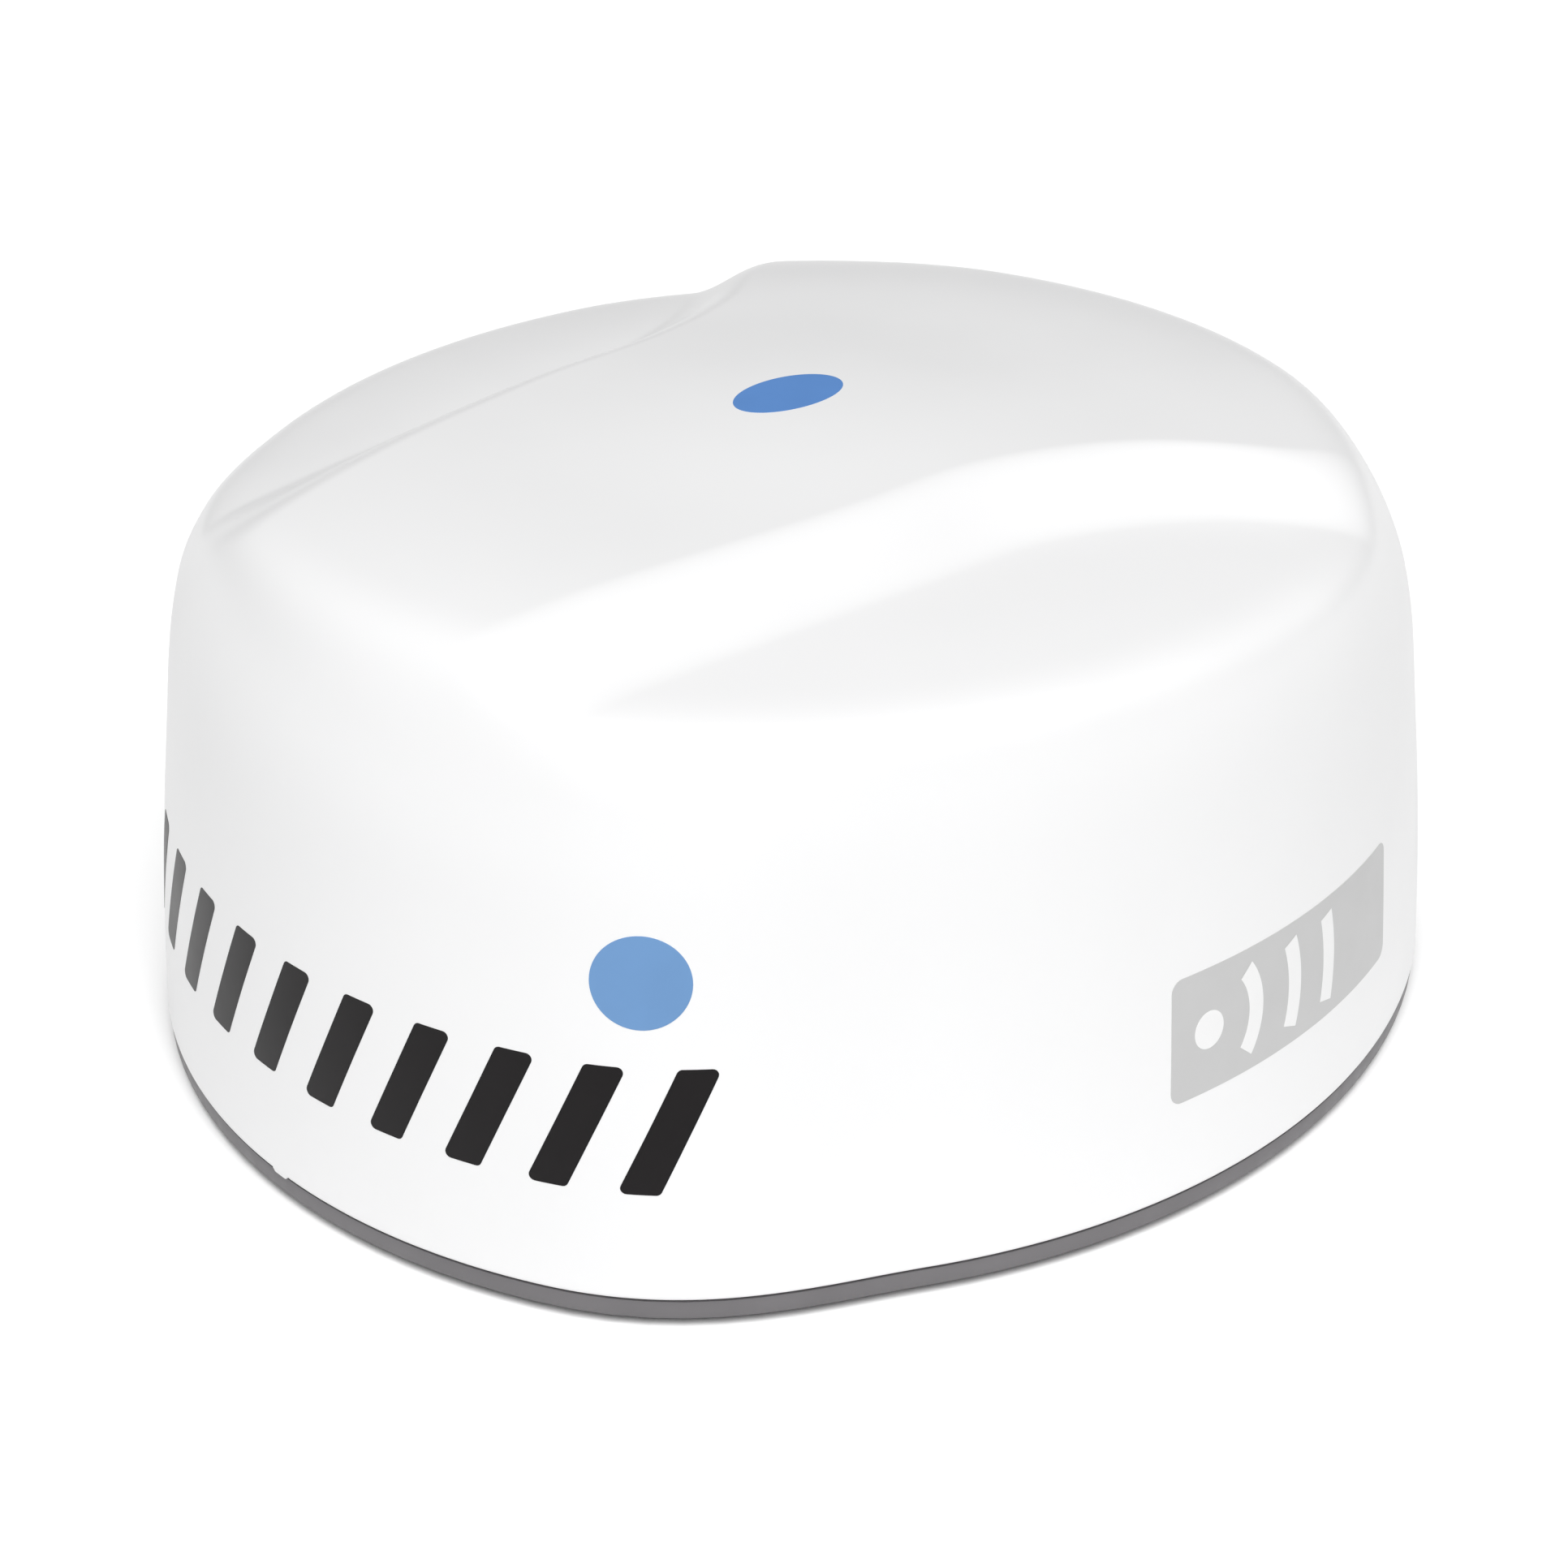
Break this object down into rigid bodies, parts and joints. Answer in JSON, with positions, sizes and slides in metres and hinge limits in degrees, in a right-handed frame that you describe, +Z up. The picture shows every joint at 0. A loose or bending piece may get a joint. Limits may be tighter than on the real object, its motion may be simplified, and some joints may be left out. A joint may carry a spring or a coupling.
{
  "type": "radar dome antenna",
  "caption": "Closed white marine radar dome with raised spine and recessed flanks on a grey base; a geared slotted antenna array turns inside on a ball bearing.",
  "frame": {"origin": "centre of the underside, in the plane of the mounting pad, on the antenna's turning axis", "axes": "+Z up along the antenna's turning axis; -Y forward to the bow; +X to port"},
  "size_m": [0.4706, 0.508, 0.248],
  "materials": {
    "white_shell": "glossy UV-stable white moulding",
    "white_ring": "satin moulded ring",
    "seal_rubber": "soft moulded rubber",
    "grey_casting": "grey powder-coated casting",
    "stainless": "stainless steel, machined",
    "brass": "turned brass",
    "connector_metal": "anodised aluminium",
    "black_plastic": "moulded black plastic",
    "gold_contact": "gold-plated",
    "sheet_metal": "passivated sheet, brushed",
    "cast_alloy": "bead-blasted casting",
    "bearing_steel": "ground bearing steel",
    "cage_bronze": "machined bronze",
    "gear_resin": "natural acetal",
    "magnet": "sintered magnet",
    "circuit_board": "solder-masked laminate",
    "array_cover": "thin white moulding",
    "black_anodised": "black anodised",
    "winding": "varnished winding and core",
    "lead_black": "jacketed lead",
    "lead_blue": "jacketed data lead",
    "mark_charcoal": "charcoal printed film",
    "mark_blue": "blue printed film",
    "mark_grey": "light grey printed film"
  },
  "bodies": {
    "root": {"radome_cover": "white_shell", "cover_flange_ring": "white_ring", "housing_gasket": "seal_rubber", "lower_housing": "grey_casting", "cover_screws": "stainless", "cover_screw_washers": "seal_rubber", "cover_inserts": "brass", "mounting_inserts": "stainless", "power_connector": "connector_metal", "network_connector": "connector_metal", "connector_insulators": "black_plastic", "connector_contacts": "gold_contact", "connector_nuts": "stainless", "connector_seals": "seal_rubber", "vent_plug": "black_plastic", "chassis_standoffs": "brass", "chassis_plate": "sheet_metal", "chassis_screws": "stainless", "bearing_housing": "cast_alloy", "bearing_outer_race": "bearing_steel", "bearing_retaining_ring": "stainless", "motor_body": "black_anodised", "motor_bracket": "sheet_metal", "motor_screws": "stainless", "rotary_joint": "brass", "waveguide": "brass", "circulator": "cast_alloy", "magnetron": "cast_alloy", "magnetron_magnets": "magnet", "pulse_transformer": "winding", "modulator_board": "circuit_board", "transmitter_shield": "sheet_metal", "receiver_module": "cast_alloy", "power_board": "circuit_board", "board_heat_sink": "black_anodised", "main_board": "circuit_board", "position_sensor": "circuit_board", "power_lead": "lead_black", "network_lead": "lead_blue", "bow_band": "mark_charcoal", "blue_marks": "mark_blue", "flank_badges": "mark_grey"},
    "antenna": {"bearing_inner_race": "bearing_steel", "spindle": "stainless", "spindle_circlip": "stainless", "main_gear": "gear_resin", "home_magnet": "magnet", "turntable_screws": "stainless", "antenna_bracket": "sheet_metal", "counterweight": "cast_alloy", "array_back_plate": "sheet_metal", "array_board": "circuit_board", "array_front_cover": "array_cover", "array_screws": "stainless", "feed_coupler": "brass", "feed_coax": "brass"},
    "bearing_cage": {"bearing_balls": "bearing_steel", "bearing_cage": "cage_bronze"},
    "motor_rotor": {"motor_shaft": "stainless", "motor_pinion": "brass"}
  },
  "joints": [
    {"name": "antenna_spin", "type": "hinge", "parent": "root", "child": "antenna", "pos_m": [0, 0, 0.052], "axis": [0, 0, 1], "continuous": true},
    {"name": "motor_spin", "type": "hinge", "parent": "root", "child": "motor_rotor", "pos_m": [0.072, 0, 0.052], "axis": [0, 0, 1], "continuous": true},
    {"name": "bearing_cage_spin", "type": "hinge", "parent": "root", "child": "bearing_cage", "pos_m": [0, 0, 0.052], "axis": [0, 0, 1], "continuous": true}
  ],
  "couplings": [
    {"joint": "motor_spin", "follows": "antenna_spin", "ratio": -5},
    {"joint": "bearing_cage_spin", "follows": "antenna_spin", "ratio": 0.4028}
  ]
}
